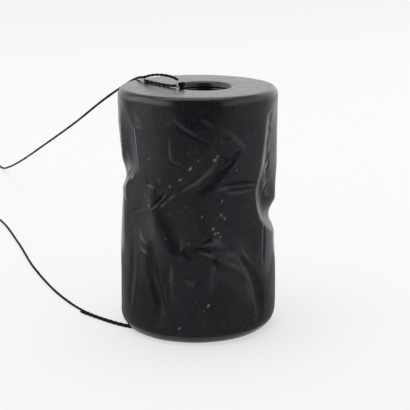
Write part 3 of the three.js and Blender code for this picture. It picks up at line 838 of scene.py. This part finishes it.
# the front of the upper rim is worn back into a soft shoulder
SHOULDER = [(-32, 35.8, 3.6, 0.0), (-18, 35.8, 4.0, 0.22), (-3, 35.9, 4.2, 0.3), (10, 35.8, 4.0, 0.22),
            (26, 35.8, 3.6, 0.0)]
shoulder = gouge(np.zeros(A.shape), SHOULDER, A, Z)
carved = wall_depth * FADE
surface = seal_points(carved + shoulder + np.maximum(roll, -0.04) + CHIP_DEPTH * chip_mask)
seal = mesh_object(
    "seal_carved",
    surface.reshape(-1, 3) * MM,
    grid_faces(len(section), len(angles), close_rows=True)
)


def paint_attribute(piece, name, values):
    """Keeps one number for each vertex on the mesh, for its material to read."""
    held = piece.data.attributes.new(name, "FLOAT", "POINT")
    held.data.foreach_set("value", values.astype(np.float32).ravel())


paint_attribute(seal, "chipped", chip_mask * outside[:, None])
# painted highlight along ridges and edges, kept for the material
paint_attribute(seal, "painted_highlight", painted_highlight * outside[:, None])
# painted shade in the fine cuts, kept for the material
paint_attribute(seal, "painted_cut_shade", painted_cut_shade * outside[:, None])
paint_attribute(seal, "bored", np.repeat(section[:, 2:] >= 1, len(angles), 1))
paint_attribute(seal, "hollow", np.clip(carved, 0, 1) * outside[:, None])
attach(seal, "root")
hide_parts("seal")

# %% [markdown]
# ## Colours and nodes
#
# Two small helpers serve every material: one turns a hex colour as a painter
# reads it into the linear light that the renderer adds up, and one adds a node
# with its settings and its links in a single line.

# %% Colour and node helpers
def linear(hex_colour):
    """Each channel c of an sRGB hex becomes c/12.92 below 0.04045, else ((c+0.055)/1.055)^2.4."""
    c = np.array([int(hex_colour[i:i + 2], 16) for i in (1, 3, 5)]) / 255
    c = np.where(c <= 0.04045, c / 12.92, ((c + 0.055) / 1.055) ** 2.4)
    return (*c.tolist(), 1.0)


def node(material, kind, settings=None, **inputs):
    """Adds a node. settings are its properties; inputs are values, or sockets to link from,
    named as the socket is with _ for a space, or in0, in1 by place."""
    tree = material.node_tree
    made = tree.nodes.new(kind)
    for key, value in (settings or {}).items():
        setattr(made, key, value)
    for key, value in inputs.items():
        by_place = key[:2] == "in" and key[2:].isdigit()
        socket = made.inputs[int(key[2:]) if by_place else key.replace("_", " ")]
        if isinstance(value, bpy.types.NodeSocket):
            tree.links.new(value, socket)
        else:
            socket.default_value = value
    return made


def new_material(name):
    """An empty node material with only its output."""
    material = bpy.data.materials.new(name)
    material.use_nodes = True
    material.node_tree.nodes.clear()
    return material, material.node_tree.nodes.new("ShaderNodeOutputMaterial")


print("mid grey #808080 is", round(linear("#808080")[0], 3), "of full light")

# %% [markdown]
# ## The stone
#
# The stone is nearly black, with faint clouds of brown, blue and green a few
# millimetres across, as in serpentine. It was polished by hand and by use, so
# its gloss is soft and slightly uneven, and duller in the hollows. Chips are
# paler. Ridges, edges and hair locks are painted paler as painted highlights,
# and the fine cuts are painted darker as painted shade and given a duller gloss.
# The drill left fine rings in the bore.

# %% Stone
stone, out = new_material("polished_dark_serpentine")
place = node(stone, "ShaderNodeTexCoord").outputs["Object"]
CLOUD_MM = 6.0


def clouds(size_mm, seed, low, high):
    """A soft noise with blobs of about size_mm, stretched so that low reads 0 and high 1."""
    moved = node(stone, "ShaderNodeMapping", Vector=place, Location=(seed, seed * 0.7, seed * 1.3))
    noise = node(stone, "ShaderNodeTexNoise", Vector=moved.outputs[0], Scale=1 / (size_mm * MM), Detail=2.0)
    return node(stone, "ShaderNodeMapRange", Value=noise.outputs[0], From_Min=low, From_Max=high).outputs[0]


def tinted(below, share, hex_colour):
    """below, mixed towards one colour by share."""
    mixed = node(stone, "ShaderNodeMix", {"data_type": "RGBA"}, in0=share, in6=below, in7=linear(hex_colour))
    return mixed.outputs[2]


colour = tinted(linear("#131216"), clouds(CLOUD_MM, 0.3, 0.48, 0.70), "#201914")
colour = tinted(colour, clouds(CLOUD_MM, 1.9, 0.48, 0.72), "#151628")
colour = tinted(colour, clouds(CLOUD_MM * 0.7, 4.1, 0.50, 0.75), "#171a17")
colour = tinted(colour, clouds(0.6, 6.2, 0.50, 1.2), "#343031")


def kept(name):
    """The number that the mesh keeps under this name."""
    return node(stone, "ShaderNodeAttribute", {"attribute_name": name}).outputs["Fac"]


def maths(operation, first, second):
    """One sum or product of two values."""
    return node(stone, "ShaderNodeMath", {"operation": operation}, in0=first, in1=second).outputs[0]


# painted highlight: ridges and edges are painted pale grey, and the strongest of them nearly white
HIGHLIGHT_SHARE = 0.62
# painted shade: the fine cuts are painted near black
colour = tinted(colour, kept("painted_cut_shade"), "#050405")
highlight_share = maths("MULTIPLY", kept("painted_highlight"), HIGHLIGHT_SHARE)
colour = tinted(colour, highlight_share, "#504f57")
brightest_highlight = node(stone, "ShaderNodeMapRange", Value=highlight_share, From_Min=HIGHLIGHT_SHARE, From_Max=1.0)
colour = tinted(colour, brightest_highlight.outputs[0], "#86847f")
colour = tinted(colour, kept("chipped"), "#7d7974")

GLOSS_OPEN, GLOSS_HOLLOW, GLOSS_IN_CUTS, PATCHES = 0.22, 0.31, 0.6, 0.06
gloss = node(stone, "ShaderNodeMapRange", Value=kept("hollow"), To_Min=GLOSS_OPEN, To_Max=GLOSS_HOLLOW)
gloss = maths("ADD", gloss.outputs[0], maths("MULTIPLY", clouds(1.6, 7.7, 0.3, 0.7), PATCHES))
# the cuts with painted shade are also made duller
gloss = node(stone, "ShaderNodeMix", in0=kept("painted_cut_shade"), in2=gloss, in3=GLOSS_IN_CUTS).outputs[0]

# one band of the wave texture is 0.314 of its own units
GRAIN_MM, RING_MM, WAVE_BAND = 0.3, 0.45, 0.314
grain = node(stone, "ShaderNodeTexNoise", Vector=place, Scale=1 / (GRAIN_MM * MM), Detail=4.0).outputs[0]
grain = node(stone, "ShaderNodeBump", Height=grain, Strength=0.12, Distance=0.012 * MM).outputs[0]
rings = node(
    stone, "ShaderNodeTexWave", {"bands_direction": "Z"},
    Vector=place, Scale=WAVE_BAND / (RING_MM * MM), Distortion=1.5
)
rings = maths("MULTIPLY", rings.outputs["Fac"], kept("bored"))
relief = node(stone, "ShaderNodeBump", Height=rings, Strength=1.0, Distance=0.05 * MM, Normal=grain)
shader = node(
    stone, "ShaderNodeBsdfPrincipled",
    Base_Color=colour, Roughness=gloss, IOR=1.45, Normal=relief.outputs[0]
)
stone.node_tree.links.new(shader.outputs[0], out.inputs["Surface"])
seal.data.materials.append(stone)
print("the stone's material has", len(stone.node_tree.nodes), "nodes")

# %% [markdown]
# ## The thread's fibre
#
# Black cotton is never quite even: the dye has gone a little brown in places,
# and the fibre has almost no shine.

# %% Thread fibre
fibre, out = new_material("black_cotton_two_ply")
spot = node(fibre, "ShaderNodeTexCoord").outputs["Object"]
fading = node(fibre, "ShaderNodeTexNoise", Vector=spot, Scale=1 / (0.5 * MM), Detail=3.0).outputs[0]
fading = node(fibre, "ShaderNodeMapRange", Value=fading, From_Min=0.42, From_Max=0.66).outputs[0]
dye = node(
    fibre, "ShaderNodeMix", {"data_type": "RGBA"},
    in0=fading, in6=linear("#0b0a0a"), in7=linear("#191513")
)
shader = node(fibre, "ShaderNodeBsdfPrincipled", Base_Color=dye.outputs[2], Roughness=0.95)
shader.inputs["Specular IOR Level"].default_value = 0.25
fibre.node_tree.links.new(shader.outputs[0], out.inputs["Surface"])
for piece in THREAD_PIECES.values():
    piece.data.materials.append(fibre)
print("fibre on", len(THREAD_PIECES), "pieces")

# %% [markdown]
# ## The studio
#
# Dark polished stone shows mostly what it mirrors, so the room does the work: a
# white floor and background, one broad soft light overhead, and darkness on the
# camera's side, which is what keeps the carved face black. Each card below is a
# sheet of one even brightness. The camera doesn't see it; only the stone mirrors
# it. The cards on the floor set how bright each part of the wall reads, because
# a wall seen from a little above mirrors the floor in front of it.

# %% Floor and cards
def flat_sheet(name, corners, material):
    """A four-cornered sheet, corners in metres."""
    made = mesh_object(name, np.array(corners, float), np.array([[0, 1, 2, 3]]), smooth=False)
    made.data.materials.append(material)
    return made


def glowing(name, hex_colour, strength):
    """A material that only gives off light, so that a card mirrors as one even tone."""
    made, out = new_material(name)
    shine = node(made, "ShaderNodeEmission", Color=linear(hex_colour), Strength=strength)
    made.node_tree.links.new(shine.outputs[0], out.inputs["Surface"])
    return made


def card(name, corners, hex_colour, strength):
    """A sheet that only mirrors see."""
    made = flat_sheet(name, corners, glowing(name + "_tone", hex_colour, strength))
    made.visible_camera = False
    made.visible_diffuse = False
    made.visible_shadow = False
    return made


# white paper that gives off some light of its own, so that it stays even to its edge
paper, out = new_material("white_studio_paper")
shader = node(paper, "ShaderNodeBsdfPrincipled", Base_Color=linear("#afafae"), Roughness=0.95)
shader.inputs["Specular IOR Level"].default_value = 0.1
shader.inputs["Emission Color"].default_value = linear("#ffffff")
shader.inputs["Emission Strength"].default_value = 0.555
paper.node_tree.links.new(shader.outputs[0], out.inputs["Surface"])

under = -0.00001
flat_sheet("floor", [(-2, -2, under), (2, -2, under), (2, 3, under), (-2, 3, under)], paper)

UP, CLOSE = 0.001, 0.0013


def floor_card(name, strength, corners, height=UP):
    """A white card just above the floor, its corners given as (x, y) in metres."""
    return card(name, [(x, y, height) for x, y in corners], "#ffffff", strength)


EDGE = -0.15
floor_card("card_close", 0.26, [(-0.032, -0.0125), (0.032, -0.0125), (0.032, 0.03), (-0.032, 0.03)], CLOSE)
floor_card("card_near", 0.3, [(-0.09, -0.06), (0.09, -0.06), (0.035, -0.0125), (-0.035, -0.0125)])
floor_card("card_far", 0.4, [(-0.3, EDGE), (0.3, EDGE), (0.09, -0.06), (-0.09, -0.06)])
floor_card("card_dark_floor", 0.04, [(-0.6, -0.6), (0.6, -0.6), (0.3, EDGE), (-0.3, EDGE)])
floor_card("card_left", 0.8, [(-0.69, -0.40), (-0.055, -0.032), (-0.063, 0.011), (-0.79, 0.14)])
floor_card("card_left_near", 0.5, [(-0.055, -0.032), (-0.02, -0.012), (-0.02, 0.0035), (-0.063, 0.011)])
floor_card("card_left_rear", 0.36, [(-0.79, 0.14), (-0.02, 0.0035), (-0.016, 0.0125), (-0.63, 0.49)])
floor_card("card_left_front", 0.42, [(-0.60, -0.60), (-0.09, -0.10), (-0.02, -0.012), (-0.69, -0.40)])
floor_card("card_right", 0.48, [(0.09, -0.10), (0.6, -0.60), (0.6, 0.30), (0.014, -0.006)])


def standing_card(name, hex_colour, strength, start, stop, low, high):
    """An upright card from start to stop, each given as (x, y), between two heights."""
    corners = [(*start, low), (*stop, low), (*stop, high), (*start, high)]
    return card(name, corners, hex_colour, strength)


card(
    "card_leaning",
    [(-0.44, -0.60, 0.0), (0.30, -0.60, 0.0), (0.14, -0.10, 0.70), (-0.20, -0.10, 0.70)],
    "#ffffff", 0.03
)
standing_card("window", "#fff6ec", 2.5, (-0.5, -0.70), (-0.5, 0.25), 0.05, 0.6)
standing_card("side_wall", "#ffffff", 1.2, (0.5, -0.90), (0.5, 0.25), 0.10, 0.6)
standing_card("rim_light", "#ffffff", 1.5, (0.5, 0.32), (0.12, 0.70), 0.03, 0.5)

# %% [markdown]
# ## Light and background
#
# The room's own light is even and nearly white. One softbox overhead
# gives the seal its faint shadow, and a bright wall far behind is what the top
# face and the edges mirror.

# %% Lights and background
world = bpy.data.worlds.new("studio")
world.use_nodes = True
world.node_tree.nodes["Background"].inputs["Color"].default_value = linear("#f6f6f6")
world.node_tree.nodes["Background"].inputs["Strength"].default_value = 0.66
bpy.context.scene.world = world
bpy.context.scene.view_settings.view_transform = "Standard"


def softbox(name, place, aim, width, height, watts):
    """A rectangular light at place, turned to face aim."""
    data = bpy.data.lights.new(name, "AREA")
    data.shape = "RECTANGLE"
    data.size, data.size_y, data.energy = width, height, watts
    made = bpy.data.objects.new(name, data)
    made.location = place
    made.rotation_mode = "QUATERNION"
    made.rotation_quaternion = (Vector(aim) - Vector(place)).to_track_quat("-Z", "Y")
    bpy.context.scene.collection.objects.link(made)
    return made


softbox("overhead", (-0.05, 0.05, 0.60), (0, 0.02, 0.0), 0.60, 0.40, 1.3)
standing_card("backdrop", "#ffffff", 1.15, (-2, 1.2), (2, 1.2), 0, 0.8)
print("softbox and backdrop set")
